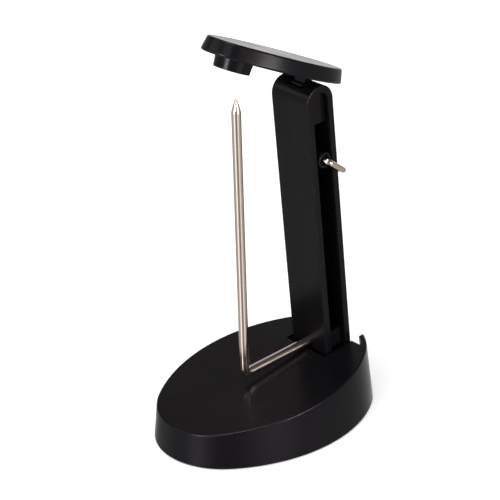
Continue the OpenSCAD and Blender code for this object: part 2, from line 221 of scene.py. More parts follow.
def mark_narrow_faces(mesh, limit):
    """Attribute 'edge' is 1 on faces whose width, twice the area over the perimeter, is under the limit."""
    count = len(mesh.polygons)
    area, starts = np.zeros(count), np.zeros(count, np.int32)
    mesh.polygons.foreach_get("area", area)
    mesh.polygons.foreach_get("loop_start", starts)
    ends, at_loop = np.zeros(len(mesh.edges) * 2, np.int32), np.zeros(len(mesh.loops), np.int32)
    mesh.edges.foreach_get("vertices", ends)
    mesh.loops.foreach_get("edge_index", at_loop)
    points = np.zeros(len(mesh.vertices) * 3)
    mesh.vertices.foreach_get("co", points)
    corners = points.reshape(-1, 3)[ends.reshape(-1, 2)]
    lengths = np.linalg.norm(corners[:, 1] - corners[:, 0], axis=1)
    perimeter = np.add.reduceat(lengths[at_loop], starts)
    narrow = (2 * area / perimeter < limit).astype(np.float32)
    layer = mesh.attributes.new("edge", "FLOAT", "FACE")
    layer.data.foreach_set("value", narrow)
    return int(narrow.sum())


def shade_smooth(piece, sharp_above):
    """Smooth shading on every face, but for edges sharper than the angle."""
    piece.data.polygons.foreach_set("use_smooth", np.ones(len(piece.data.polygons), bool))
    piece.data.set_sharp_from_angle(angle=sharp_above)


def soften(piece, width):
    """Merges flat regions, rounds every sharp edge by the width, and smooths the shading."""
    flat = piece.modifiers.new("flat", "DECIMATE")
    flat.decimate_type, flat.angle_limit = "DISSOLVE", FLAT_WITHIN
    apply_modifiers(piece)
    bevel = piece.modifiers.new("bevel", "BEVEL")
    bevel.width, bevel.segments = width * MM, BEVEL_STEPS
    bevel.limit_method, bevel.angle_limit = "ANGLE", BEVEL_ABOVE
    bevel.miter_outer = "MITER_ARC"
    apply_modifiers(piece)
    marked = mark_narrow_faces(piece.data, width * MM * NARROW_SHARE)
    shade_smooth(piece, SMOOTH_BELOW)
    weighted = piece.modifiers.new("weighted", "WEIGHTED_NORMAL")
    weighted.keep_sharp = True
    apply_modifiers(piece)
    print(piece.name, "has", len(piece.data.polygons), "faces,", marked, "of them on rounded edges")
    return piece


print("edges sharper than", round(math.degrees(BEVEL_ABOVE)), "degrees get", BEVEL_STEPS, "steps")

# %% [markdown]
# ## The four-arc oval
# Both ovals, the base's and the cover's, are drafted with compasses: four arcs that meet without
# a corner. A stretched circle would be quicker, but it is too pointed at its ends. The arcs'
# centres are set out with a whole-number right triangle, so the outline in any direction is
# simply the arc's centre plus its radius along that direction. Taking the outline in is then
# only a shorter radius.

# %% The oval as a function of direction and inset
BASE_HALF_LENGTH, BASE_HALF_WIDTH, BASE_TRIANGLE = 52.45, 38.05, (3, 4, 5)
TURN = np.linspace(0, 2 * np.pi, 288, endpoint=False)


def oval(half_length, half_width, triangle, inset, turn):
    """Point = the centre of its arc + (the arc's radius - inset) * the outward direction at angle turn.
    The end arcs take over where the direction is steeper than the triangle's long side."""
    p, q, h = triangle
    unit = (half_length - half_width) / (p + q - h)
    end_radius = half_length - p * unit
    side_radius = end_radius + h * unit
    out = np.stack(np.broadcast_arrays(np.cos(turn), np.sin(turn)), axis=-1)
    on_end = np.abs(out[..., 1:2]) > p / h
    end_centre = np.sign(out) * np.array([0, p * unit])
    side_centre = -np.sign(out) * np.array([q * unit, 0])
    radius = np.where(on_end[..., 0], end_radius, side_radius) - inset
    return np.where(on_end, end_centre, side_centre) + radius[..., None] * out


widest = oval(BASE_HALF_LENGTH, BASE_HALF_WIDTH, BASE_TRIANGLE, 0, TURN)[:, 0].max()
print("half the base's width:", widest.round(2), "mm")

# %% [markdown]
# ## The base
# The base is one moulding: walls that lean in, a top that slopes up to the rear, and a soft edge
# between the two. It could be a leaning cone cut by a slope, but then its soft edge would be a
# bevel on a curve, which is where bevels tear. So each ring of its stack is an oval at one place
# of the wall's profile. The rings near the ground are level and those near the top follow the
# slope, and because the walls lean, a ring's place and its height depend on each other, so the
# height is refined a few times.

# %% The base's outer form and its core
TOP_HEIGHT, TOP_SLOPE, DRAFT, RIM = 21.26, math.radians(7.1), 0.105, 0.5
TOP_EDGE, RIM_EDGE = 0.8, 0.3
WALL_THICKNESS, PLATE_THICKNESS, BAY_TOP = 2.5, 2.8, 30.0
OVER, FAR = 1.0, 80.0


def base_rings(inset, away, from_top):
    """Rings of the drafted oval. Each has an inset from the wall's line and a distance away from
    the rim, or from the sloping top. Height = rim + away, or top + y * slope - away."""
    inset, away, from_top = (np.array(v)[:, None] for v in (inset, away, from_top))
    z = np.where(from_top, TOP_HEIGHT, RIM) + 0 * TURN
    for _ in range(5):
        leaning = inset + DRAFT * (z - RIM)
        plan = oval(BASE_HALF_LENGTH, BASE_HALF_WIDTH, BASE_TRIANGLE, leaning, TURN + 0 * z)
        y = plan[..., 1]
        z = np.where(from_top, TOP_HEIGHT + y * math.tan(TOP_SLOPE) - away, RIM + away)
    return np.stack([plan[..., 0], y, z], axis=-1)


quarter = np.radians(np.linspace(0, 90, 6))
rim_inset, rim_away = RIM_EDGE * (1 - np.cos(quarter[::-1])), RIM_EDGE * (1 - np.sin(quarter[::-1]))
top_inset, top_away = TOP_EDGE * (1 - np.cos(quarter)), TOP_EDGE * (1 - np.sin(quarter))
base = solid("base_shell", base_rings(
    np.concatenate([rim_inset, top_inset]),
    np.concatenate([rim_away, top_away]),
    np.repeat([False, True], len(quarter)),
))
core = solid("core", base_rings([WALL_THICKNESS] * 2, [-OVER, PLATE_THICKNESS], [False, True]))
bay = solid("bay", base_rings([WALL_THICKNESS] * 2, [-OVER, BAY_TOP], [False, False]))
print("base is", np.round(np.array(base.dimensions) / MM, 1), "mm before it is cut")

# %% [markdown]
# The column stands in a pocket that opens to the rear, and the pocket's floor leans with the
# column. The top ends in a straight edge behind it, and the wall goes on round an open bay, with
# a notch in its middle. Under the top are the pocket's own walls, stiffening ribs and a post for
# each foot. They could be added one by one, but all of them are only what the core leaves
# standing, so they are cut out of the core, and the core is then cut out of the base.

# %% Pocket, ribs and posts
COLUMN_AT, LEAN = (0.0, 33.55, 22.439), math.radians(4.46)
FEET = {"foot_front_left": (-19.025, -30.421), "foot_front_right": (19.025, -30.421),
        "foot_rear_left": (-21.308, 27.274), "foot_rear_right": (21.308, 27.274)}
POCKET_HALF, POCKET_FRONT, POCKET_FLOOR = 12.3, 9.75, 3.0
PLATE_END, NOTCH_HEIGHT = 39.75, 15.0
RIB_LOW, RIB_X, RIB_HALF = -6.8, 10.0, 0.8
POST_RADIUS, RUBBER_RADIUS, RUBBER_HEIGHT = 5.6, 5.0, 1.8
SCREW_X, SCREW_HOLE_RADIUS = 5.4, 1.8


def pocket(grow, floor):
    """The pocket's space in the column's frame, grown by a wall at its sides and its front."""
    low = (-POCKET_HALF - grow, -POCKET_FRONT - grow, -floor)
    return place(block("pocket", low, (POCKET_HALF + grow, FAR, FAR)), COLUMN_AT, LEAN)


def rib(low, high):
    """A box in the sloping top's own frame."""
    return place(block("rib", low, high), (0, 0, TOP_HEIGHT), TOP_SLOPE)


cut(core, block("rear", (-FAR, PLATE_END - WALL_THICKNESS, -FAR), (FAR, FAR, FAR)),
    pocket(WALL_THICKNESS, POCKET_FLOOR))
for side in (-1, 1):
    cut(core, rib((side * RIB_X - RIB_HALF, -FAR, RIB_LOW), (side * RIB_X + RIB_HALF, FAR, FAR)))
cut(core, rib((-FAR, -RIB_HALF, RIB_LOW), (FAR, RIB_HALF, FAR)))
for x, y in FEET.values():
    cut(core, turned("post", [(POST_RADIUS, RUBBER_HEIGHT), (POST_RADIUS, FAR)], (x, y, 0)))
cut(bay, block("front", (-FAR, -FAR, -FAR), (FAR, PLATE_END, FAR)))
notch = block("notch", (-POCKET_HALF, PLATE_END, NOTCH_HEIGHT), (POCKET_HALF, FAR, FAR))
cut(base, core, bay, notch, pocket(0, 0))
for side in (-1, 1):
    through = [(SCREW_HOLE_RADIUS, -POCKET_FLOOR - OVER), (SCREW_HOLE_RADIUS, OVER)]
    hole = turned("hole", through, (side * SCREW_X, 0, 0), points=32)
    cut(base, place(hole, COLUMN_AT, LEAN))
soften(base, 0.3)

# %% [markdown]
# ## The column
# Seen from the side the column is a long bar with a half-round head, and its long edges are
# softened all the way round. A bevel could soften them, but here they are wider than the other
# edges, so they are drawn: one ring is the side outline, taken in a little near each face.

# %% The column's side outline
COLUMN_HALF, COLUMN_DEPTH, COLUMN_HEIGHT, COLUMN_EDGE = 11.0, 7.15, 118.2, 0.6
ARCH = np.radians(np.linspace(0, 180, 49))


def column_side(inset, bottom):
    """Side outline (y, z): a half circle over two straight sides, taken in by the inset."""
    radius = COLUMN_DEPTH - inset
    arch = np.column_stack([radius * np.cos(ARCH), COLUMN_HEIGHT + radius * np.sin(ARCH)])
    return np.vstack([[[radius, bottom]], arch, [[-radius, bottom]]])


def column_form():
    """Rings from the left face to the right: taken in by r (1 - sin a) at r (1 - cos a) from each face."""
    inset = COLUMN_EDGE * (1 - np.sin(quarter))
    x = COLUMN_HALF - COLUMN_EDGE * (1 - np.cos(quarter))
    places = list(zip(-x, inset)) + list(zip(x, inset))[::-1]
    rings = [np.column_stack([np.full(len(ARCH) + 2, at), column_side(taken, 0)]) for at, taken in places]
    return solid("column_body", np.stack(rings))


column = column_form()
print("column is", np.round(np.array(column.dimensions) / MM, 1), "mm")

# %% [markdown]
# A deep hollow in each side saves plastic and leaves a channel with a thin web. A shallow one
# keeps the foot's block and the hinge's block a step below the faces. The bail turns in a boss
# with a dished end, and the cover's lug turns in a slot. All of this is cut from the solid bar,
# because the core pins of the real mould do the same.

# %% Hollows, bosses, slot and bores
WALL, FOOT_HEIGHT, FOOT_STEP, HINGE_STEP, HINGE_DROP, WEB_HALF = 3.0, 10.0, 2.6, 2.4, 10.1, 1.3
BAIL_HEIGHT, PIVOT_HEIGHT = 92.2, 122.7
BOSS_RADIUS, DISH_RADIUS, DISH_DEPTH = 3.35, 2.25, 1.2
BAIL_RADIUS, PIN_RADIUS, ROOM, SNUG, PIN_STOP = 1.3, 1.0, 0.05, 0.02, 1.0
SLOT_HALF, SLOT_FRONT, SLOT_REAR, SLOT_DEPTH, HEADROOM = 4.9, 4.0, 3.8, 9.0, 20.0
hollow_y = COLUMN_DEPTH - WALL
hinge_block_low = COLUMN_HEIGHT - HINGE_DROP


def side_box(name, side, near, low, high):
    """A box inside the column's front and rear walls, from x = near out past one side."""
    x_low, x_high = sorted((side * near, side * COLUMN_HALF * 2))
    return block(name, (x_low, -hollow_y, low), (x_high, hollow_y, high))


for side in (-1, 1):
    step_x = sorted((side * (COLUMN_HALF - HINGE_STEP), side * COLUMN_HALF * 2))
    cut(column,
        side_box("hollow", side, WEB_HALF, FOOT_HEIGHT, hinge_block_low),
        prism_x("step", column_side(WALL, FOOT_HEIGHT), *step_x),
        side_box("foot", side, COLUMN_HALF - FOOT_STEP, -OVER, FOOT_HEIGHT + OVER))
join(column, rod_x("boss", BOSS_RADIUS, -COLUMN_HALF, COLUMN_HALF, BAIL_HEIGHT))
slot_low = COLUMN_HEIGHT + COLUMN_DEPTH - SLOT_DEPTH
cut(column,
    rod_x("dish", DISH_RADIUS, COLUMN_HALF - DISH_DEPTH, FAR, BAIL_HEIGHT),
    rod_x("dish", DISH_RADIUS, -FAR, DISH_DEPTH - COLUMN_HALF, BAIL_HEIGHT),
    rod_x("bore", BAIL_RADIUS + ROOM, -FAR, FAR, BAIL_HEIGHT),
    rod_x("bore", PIN_RADIUS + SNUG, -FAR, COLUMN_HALF - HINGE_STEP - PIN_STOP, PIVOT_HEIGHT),
    block("slot", (-SLOT_HALF, -SLOT_FRONT, slot_low), (SLOT_HALF, SLOT_REAR, COLUMN_HEIGHT + HEADROOM)))
place(column, COLUMN_AT, LEAN)
print("the column has", len(column.data.polygons), "faces with its hollows and bores")

# %% [markdown]
# ## The wire
# The spike and the bail are round wire bent in one plane. A curve with a round bevel would make
# such a tube too, but not a map of its surface in real lengths. So a circle is carried along the
# bent line, and stands across the line's direction at every point. The UV map is in metres,
# along the wire and round it, so that the fine marks of drawing follow every bend. The faces
# that close the circle count on to the full turn instead of back to zero.

# %% A tube along a flat path
def tube(name, path, radii, plane_normal, points=40):
    """Point = path + radius * (cos a * the plane's normal + sin a * the normal across the path)."""
    path, radii = np.array(path, float), np.array(radii, float)
    forward = np.gradient(path, axis=0)
    forward /= np.linalg.norm(forward, axis=1, keepdims=True)
    across = np.cross(plane_normal, forward)
    a = np.linspace(0, 2 * np.pi, points, endpoint=False)[None, :, None]
    circle = np.cos(a) * np.array(plane_normal, float) + np.sin(a) * across[:, None, :]
    piece = solid(name, path[:, None, :] + radii[:, None, None] * circle)
    map_wire(piece, path, radii.max(), points)
    shade_smooth(piece, WIRE_SMOOTH_BELOW)
    return piece


def map_wire(piece, path, radius, points):
    """UV = (the path's length up to the ring, the share of a turn * 2 pi * radius), in metres."""
    mesh = piece.data
    along = np.concatenate([[0], np.cumsum(np.linalg.norm(np.diff(path, axis=0), axis=1))]) * MM
    corner = np.zeros(len(mesh.loops), np.int32)
    mesh.loops.foreach_get("vertex_index", corner)
    first, count = np.zeros((2, len(mesh.polygons)), np.int32)
    mesh.polygons.foreach_get("loop_start", first)
    mesh.polygons.foreach_get("loop_total", count)
    step = corner % points
    closing = np.repeat(np.maximum.reduceat(step, first) == points - 1, count)
    step = np.where(closing & (step == 0), points, step)
    round_it = step / points * 2 * np.pi * radius * MM
    uv = mesh.uv_layers.new(name="wire")
    uv.data.foreach_set("uv", np.column_stack([along[corner // points], round_it]).ravel())


def bend(centre, radius, start, end, steps=14):
    """Points (u, v) on an arc about the centre, from one angle to another, in degrees."""
    a = np.radians(np.linspace(start, end, steps))
    return np.column_stack([centre[0] + radius * np.cos(a), centre[1] + radius * np.sin(a)])


print("an arc starts and ends at", bend((0, 0), 1, 0, 90)[[0, -1]].round(2).tolist())

# %% [markdown]
# The spike is one wire: its run enters the column's foot, falls slightly towards the front,
# turns up at a tight bend and ends in a ground point. The bend is worked out from its radius,
# which the photograph shows, and the point's radius follows a power of its height, because a
# ground point bulges a little where a straight cone would not. Both straight lengths stop a
# small gap away from the bend.

# %% The spike
WIRE, SPIKE_Y, TIP_Z, TIP_LENGTH, BEND, RUN_RISE = 2.0, -10.85, 148.5, 6.2, 2.8, math.radians(3.6)
ENTRY_HEIGHT, INSIDE_FOOT, TIP_RADIUS, TIP_BULGE = 4.7, 2.0, 0.12, 1.4
RUN_GAP, RISE_GAP = 0.5, 1.0
corner_z = COLUMN_AT[2] + ENTRY_HEIGHT - (COLUMN_AT[1] - SPIKE_Y) * math.tan(RUN_RISE)
leg = BEND * math.tan((math.pi / 2 + RUN_RISE) / 2)
centre = (SPIKE_Y + BEND, corner_z + leg)
run_length = (COLUMN_AT[1] - SPIKE_Y) / math.cos(RUN_RISE) + INSIDE_FOOT
run_way = np.array([math.cos(RUN_RISE), math.sin(RUN_RISE)])
run = np.array([SPIKE_Y, corner_z]) + np.linspace(run_length, leg + RUN_GAP, 8)[:, None] * run_way
turn_up = bend(centre, BEND, 270 + math.degrees(RUN_RISE), 180)
rise_z = np.linspace(centre[1] + RISE_GAP, TIP_Z - TIP_LENGTH, 12)
taper = np.linspace(0, 1, 16)[1:]
upright_z = np.concatenate([rise_z, TIP_Z - TIP_LENGTH * (1 - taper)])
flat_path = np.vstack([run, turn_up, np.column_stack([np.full(len(upright_z), SPIKE_Y), upright_z])])
thickness = np.full(len(flat_path), WIRE)
thickness[-len(taper):] = (WIRE - TIP_RADIUS) * (1 - taper ** TIP_BULGE) + TIP_RADIUS
spike = tube("spike_wire", np.column_stack([0 * thickness, flat_path]), thickness, (1, 0, 0))
bore_path = np.column_stack([[0, 0], [run[0] + run_way, run[-1]]])
cut(column, tube("bore", bore_path, [WIRE + ROOM] * 2, (1, 0, 0)))
soften(column, 0.35)
wire_length = float(np.linalg.norm(np.diff(flat_path, axis=0), axis=1).sum())
print("the spike has", round(wire_length, 1), "mm of wire")

# %% [markdown]
# The bail is a small loop that a string or a hook can hold. Only its right half is drawn, in its
# own plane, and the left half is its mirror, so that both arms are sure to be alike. It is then
# tilted to where it hangs.

# %% The bail
BAIL_X, BAIL_ARM, BAIL_BEND, BAIL_DROOP = 13.2, 11.4, 2.1, math.radians(-40.7)
BAIL_END, BAIL_MIDDLE = 4.0, 8.0
half = np.vstack([
    [[BAIL_END, 0.0], [BAIL_MIDDLE, 0.0]],
    bend((BAIL_X - BAIL_BEND, BAIL_BEND), BAIL_BEND, -90, 0),
    bend((BAIL_X - BAIL_BEND, BAIL_ARM - BAIL_BEND), BAIL_BEND, 0, 90),
])
whole = np.vstack([half, half[::-1] * [-1, 1]])
loop_path = np.column_stack([whole, 0 * whole[:, 0]])
bail = tube("bail_wire", loop_path, np.full(len(whole), BAIL_RADIUS), (0, 0, 1), 32)
place(bail, (0, 0, BAIL_HEIGHT), BAIL_DROOP)
place(bail, COLUMN_AT, LEAN)
print("the bail has", len(bail.data.polygons), "faces")

# %% [markdown]
# ## The cover
# The cover is a shallow oval dish turned upside down. Its rim flares outwards and both of its
# edges are rounded. It could be an extruded oval with bevels, but then the flare would change the
# oval's arcs, so each ring is the oval let out by the section's reach at that height.

# %% The cover's form
COVER_AT = (0.0, 24.008, 144.767)
COVER_TILT = math.radians(-23.7)
COVER_SHAPE = (34.2, 17.1, (8, 15, 17))
COVER_REACH, COVER_RISE, COVER_HEIGHT, FLARE, COVER_EDGE = 19.0, 4.7, 6.3, 1.4, 0.9
COVER_PLATE, HOLLOW_OUT = 2.0, [-0.5, -1.0]


def cover_rings(out, height):
    """Ovals let out by `out` at each height, carried to the cover's place over the pin."""
    plan = oval(*COVER_SHAPE, -np.array(out)[:, None], TURN + 0 * np.array(out)[:, None])
    z = np.array(height)[:, None] + 0 * TURN
    return np.stack([plan[..., 0], plan[..., 1] - COVER_REACH, z + COVER_RISE], axis=-1)


flare_angle = math.atan(FLARE / COVER_HEIGHT)
low_x = FLARE - COVER_EDGE * math.tan(math.pi / 4 + flare_angle / 2)
high_x = -COVER_EDGE * math.tan(math.pi / 4 - flare_angle / 2)
section = np.vstack([
    bend((low_x, COVER_EDGE), COVER_EDGE, -90, math.degrees(flare_angle), 8),
    bend((high_x, COVER_HEIGHT - COVER_EDGE), COVER_EDGE, math.degrees(flare_angle), 90, 8),
])
cover = solid("cover_cap", cover_rings(section[:, 0], section[:, 1]))
print("cover is", np.round(np.array(cover.dimensions) / MM, 1), "mm")
cut(cover, solid("hollow", cover_rings(HOLLOW_OUT, [-OVER, COVER_HEIGHT - COVER_PLATE])))

# %% [markdown]
# Under the cover hang the cup that takes the spike's point, so that nobody is pricked, and the
# lug that turns on the pin. Both are part of the same moulding, so they are joined to the cover
# before the cup's inside and the pin's bore are cut, and the cover is tilted only at the end.

# %% The cup and the lug
CUP_REACH, CUP_RADIUS, CUP_DROP, CUP_WALL, CUP_DRAFT = 40.0, 7.45, 4.8, 0.9, math.radians(5)
LUG_HALF, LUG_TOP_HALF, LUG_HEIGHT, LUG_HALF_DEPTH, LUG_END_RADIUS = 2.5, 4.5, 10.0, 1.8, 2.4
cup_rise = CUP_DROP + COVER_HEIGHT - OVER
cup_top = CUP_RADIUS + cup_rise * math.tan(CUP_DRAFT)
cup_base = (0, -CUP_REACH, COVER_RISE - CUP_DROP)
lug_side = np.array([
    [-LUG_HALF, 0.0], [LUG_HALF, 0.0], [LUG_TOP_HALF, LUG_HEIGHT], [-LUG_TOP_HALF, LUG_HEIGHT]])
lug_rings = np.stack([np.column_stack([lug_side[:, 0], np.full(4, y), lug_side[:, 1]])
                      for y in (-LUG_HALF_DEPTH, LUG_HALF_DEPTH)])
join(cover,
     turned("cup", [(CUP_RADIUS, 0), (cup_top, cup_rise)], cup_base, points=96),
     solid("lug", lug_rings),
     rod_x("lug_end", LUG_END_RADIUS, -LUG_HALF, LUG_HALF, 0))
inside = CUP_RADIUS - CUP_WALL
cup_inside = [(inside, -OVER), (inside, CUP_DROP + COVER_HEIGHT - COVER_PLATE)]
cut(cover,
    turned("cup_core", cup_inside, cup_base, points=96),
    rod_x("bore", PIN_RADIUS + ROOM, -FAR, FAR, 0))
place(cover, COVER_AT, COVER_TILT)
soften(cover, 0.25)

# %% [markdown]
# ## The feet
# Four rubber discs are glued to posts under the base. A plain cylinder would do from above, but
# the object is looked at from below too, so each is turned from a profile with a rounded lower
# edge and two shallow grooves in its face, which let it grip.

# %% Rubber feet
RUBBER_EDGE, FACE_START, GROOVE_STARTS = 0.4, 0.4, (2.0, 3.3)
# Across and up from where a groove starts.
GROOVE = np.array([(0.0, 0.0), (0.2, 0.15), (0.5, 0.15), (0.7, 0.0)])


def foot_profile():
    """(radius, height) points from the middle of the lower face, over its grooves, to the top."""
    grooves = [GROOVE + (start, 0.0) for start in GROOVE_STARTS]
    rounded = bend((RUBBER_RADIUS - RUBBER_EDGE, RUBBER_EDGE), RUBBER_EDGE, -90, 0, 6)
    return np.vstack([[[FACE_START, 0.0]], *grooves, rounded, [[RUBBER_RADIUS, RUBBER_HEIGHT]]])


feet = []
for node, (x, y) in FEET.items():
    foot = turned("rubber_" + node, foot_profile(), (x, y, 0), points=64)
    shade_smooth(foot, SMOOTH_BELOW)
    feet.append((foot, node))
print("feet:", [node for _, node in feet])

# %% [markdown]
# ## Finishes
# A finish is more than a colour. Three effects are shared: a fine grain that the mould leaves, a
# slow drift of gloss from handling, and paler plastic where an edge has rubbed. Each could be
# built again in every material, but as node groups they are made once and only their values
# differ. Each group gives out only numbers or colours, and the shader stays in the material.

# %% Node group helpers
def new_group(name, inputs, outputs):
    """A shader node group with named number or colour sockets; returns the tree and its two ends."""
    tree = bpy.data.node_groups.new(name, "ShaderNodeTree")
    for label, kind, value in inputs:
        socket = tree.interface.new_socket(label, in_out="INPUT", socket_type=kind)
        if value is not None:
            socket.default_value = value
    for label, kind in outputs:
        tree.interface.new_socket(label, in_out="OUTPUT", socket_type=kind)
    return tree, tree.nodes.new("NodeGroupInput"), tree.nodes.new("NodeGroupOutput")


def use_group(tree, group, **values):
    """Places a group in a tree and sets its own values there."""
    node = tree.nodes.new("ShaderNodeGroup")
    node.node_tree = group
    for key, value in values.items():
        node.inputs[key].default_value = value
    return node


def add(tree, kind, **values):
    """Adds a node; a keyword sets the property or the input socket of that name."""
    node = tree.nodes.new(kind)
    for key, value in values.items():
        if key in node.bl_rna.properties:
            setattr(node, key, value)
        else:
            node.inputs[key.replace("_", " ")].default_value = value
    return node


def wire_up(tree, *pairs):
    """Links output sockets to input sockets."""
    for source, target in pairs:
        tree.links.new(source, target)


NUMBER, COLOUR, VECTOR = "NodeSocketFloat", "NodeSocketColor", "NodeSocketVector"
print("socket kinds:", NUMBER, COLOUR, VECTOR)

# %% [markdown]
# The grain is noise at a size of its own, given in metres. The drift is a slower noise, turned
# into a roughness between a low and a high value. The wear shows only where the 'edge' attribute
# and a patchy noise agree, because real edges never wear evenly.

# %% Grain, gloss drift and edge wear
grain, g_in, g_out = new_group(
    "moulded_grain", [("Size", NUMBER, 0.0003), ("Vector", VECTOR, None)], [("Height", NUMBER)])
per_metre = add(grain, "ShaderNodeMath", operation="DIVIDE")
per_metre.inputs[0].default_value = 1.0
fine = add(grain, "ShaderNodeTexNoise", Detail=3.0, Roughness=0.6)
wire_up(grain, (g_in.outputs["Size"], per_metre.inputs[1]), (per_metre.outputs[0], fine.inputs["Scale"]),
        (g_in.outputs["Vector"], fine.inputs["Vector"]), (fine.outputs["Fac"], g_out.inputs["Height"]))

drift, d_in, d_out = new_group(
    "gloss_drift",
    [("Vector", VECTOR, None), ("Low", NUMBER, 0.3), ("High", NUMBER, 0.4), ("Scale", NUMBER, 60.0)],
    [("Roughness", NUMBER)])
clouds = add(drift, "ShaderNodeTexNoise", Detail=4.0, Roughness=0.55)
spread = add(drift, "ShaderNodeMapRange", From_Min=0.32, From_Max=0.68)
wire_up(drift,
        (d_in.outputs["Vector"], clouds.inputs["Vector"]),
        (d_in.outputs["Scale"], clouds.inputs["Scale"]),
        (clouds.outputs["Fac"], spread.inputs["Value"]),
        (d_in.outputs["Low"], spread.inputs["To Min"]),
        (d_in.outputs["High"], spread.inputs["To Max"]),
        (spread.outputs[0], d_out.inputs["Roughness"]))

wear, w_in, w_out = new_group(
    "edge_wear",
    [("Vector", VECTOR, None), ("Colour", COLOUR, (0, 0, 0, 1)), ("Worn", COLOUR, (0.1, 0.1, 0.1, 1)),
     ("Amount", NUMBER, 0.5)],
    [("Colour", COLOUR)])
edge = add(wear, "ShaderNodeAttribute", attribute_name="edge")
patches = add(wear, "ShaderNodeTexNoise", Scale=260.0, Detail=5.0, Roughness=0.7)
rubbed = add(wear, "ShaderNodeMapRange", From_Min=0.42, From_Max=0.62)
on_edge = add(wear, "ShaderNodeMath", operation="MULTIPLY")
scaled = add(wear, "ShaderNodeMath", operation="MULTIPLY")
blend_colour = add(wear, "ShaderNodeMix", data_type="RGBA")
wire_up(wear,
        (w_in.outputs["Vector"], patches.inputs["Vector"]),
        (patches.outputs["Fac"], rubbed.inputs["Value"]),
        (rubbed.outputs[0], on_edge.inputs[0]),
        (edge.outputs["Fac"], on_edge.inputs[1]),
        (on_edge.outputs[0], scaled.inputs[0]),
        (w_in.outputs["Amount"], scaled.inputs[1]),
        (scaled.outputs[0], blend_colour.inputs["Factor"]),
        (w_in.outputs["Colour"], blend_colour.inputs[6]),
        (w_in.outputs["Worn"], blend_colour.inputs[7]),
        (blend_colour.outputs[2], w_out.inputs["Colour"]))
print("node groups:", [g.name for g in bpy.data.node_groups])

# %% [markdown]
# ## Black plastic
# The plastic is dyed through, so it is almost black in itself, and all that the eye sees on it
# is reflection: soft on the flat faces, because the mould was blasted to a fine grain. A plain
# black with one roughness would look like paint, so the grain is in the normal and the gloss
# drifts. The rubber of the feet is the same recipe, only duller and coarser.

# %% The black plastic and the rubber
DYE_TINT = (1.0, 0.91, 0.96, 1)


def new_material(name, viewport):
    """A material, its node tree and its shader, with a colour for the plain viewport."""
    material = bpy.data.materials.new(name)
    material.use_nodes = True
    material.diffuse_color = (*viewport, 1.0)
    tree = material.node_tree
    return material, tree, tree.nodes["Principled BSDF"]


def moulded(name, colour, worn, gloss, grain_size, grain_depth, wear_amount, specular):
    """Dyed plastic or rubber: grain in the normal, gloss that drifts, and edges that have rubbed."""
    material, tree, shader = new_material(name, colour)
    where = tree.nodes.new("ShaderNodeTexCoord").outputs["Object"]
    fine_grain = use_group(tree, grain, Size=grain_size)
    drifting = use_group(tree, drift, Low=gloss[0], High=gloss[1], Scale=45.0)
    edges = use_group(tree, wear, Colour=(*colour, 1), Worn=(*worn, 1), Amount=wear_amount)
    bump = add(tree, "ShaderNodeBump", Strength=1.0, Distance=grain_depth)
    wire_up(tree,
            (where, fine_grain.inputs["Vector"]),
            (where, drifting.inputs["Vector"]),
            (where, edges.inputs["Vector"]),
            (fine_grain.outputs["Height"], bump.inputs["Height"]),
            (bump.outputs["Normal"], shader.inputs["Normal"]),
            (edges.outputs["Colour"], shader.inputs["Base Color"]),
            (drifting.outputs["Roughness"], shader.inputs["Roughness"]))
    shader.inputs["Specular IOR Level"].default_value = specular
    shader.inputs["Specular Tint"].default_value = DYE_TINT
    return material


black_plastic = moulded(
    "black_plastic", (0.0034, 0.003, 0.0036), (0.008, 0.0076, 0.008), gloss=(0.21, 0.31),
    grain_size=0.00035, grain_depth=0.000012, wear_amount=0.6, specular=0.15)
rubber = moulded(
    "black_rubber", (0.02, 0.02, 0.02), (0.05, 0.05, 0.048), gloss=(0.6, 0.8),
    grain_size=0.0006, grain_depth=0.00004, wear_amount=0.5, specular=0.25)
print("moulded materials:", black_plastic.name, rubber.name)

# %% [markdown]
# ## Steel
# The spike is nickel-plated wire. Drawing it through a die leaves hair-fine lines along its
# length, which widen its highlights across the wire but not along it. An anisotropic shader
# gives that too, but it shows no single line, so the pattern is a noise stretched along the UV
# map's first direction. The pin and the screws are duller zinc, with their lines along X.

# %% The steel materials
def steel(name, light, dark, gloss, line_depth, source, stretch):
    """Metal whose colour, gloss and normal follow fine lines and slow clouds."""
    material, tree, shader = new_material(name, light)
    coordinates = tree.nodes.new("ShaderNodeTexCoord")
    lines_at = add(tree, "ShaderNodeMapping", Scale=stretch)
    lines = add(tree, "ShaderNodeTexNoise", Scale=1.0, Detail=4.0, Roughness=0.7)
    drifting = use_group(tree, drift, Low=gloss[0], High=gloss[1], Scale=120.0)
    tone = add(tree, "ShaderNodeMix", data_type="RGBA")
    tone.inputs[6].default_value, tone.inputs[7].default_value = (*dark, 1), (*light, 1)
    spread_tone = add(tree, "ShaderNodeMapRange", From_Min=0.3, From_Max=0.6)
    bump = add(tree, "ShaderNodeBump", Strength=1.0, Distance=line_depth)
    wire_up(tree,
            (coordinates.outputs[source], lines_at.inputs["Vector"]),
            (lines_at.outputs["Vector"], lines.inputs["Vector"]),
            (coordinates.outputs["Object"], drifting.inputs["Vector"]),
            (lines.outputs["Fac"], bump.inputs["Height"]),
            (bump.outputs["Normal"], shader.inputs["Normal"]),
            (lines.outputs["Fac"], spread_tone.inputs["Value"]),
            (spread_tone.outputs[0], tone.inputs["Factor"]),
            (tone.outputs[2], shader.inputs["Base Color"]),
            (drifting.outputs["Roughness"], shader.inputs["Roughness"]))
    shader.inputs["Metallic"].default_value = 1.0
    return material


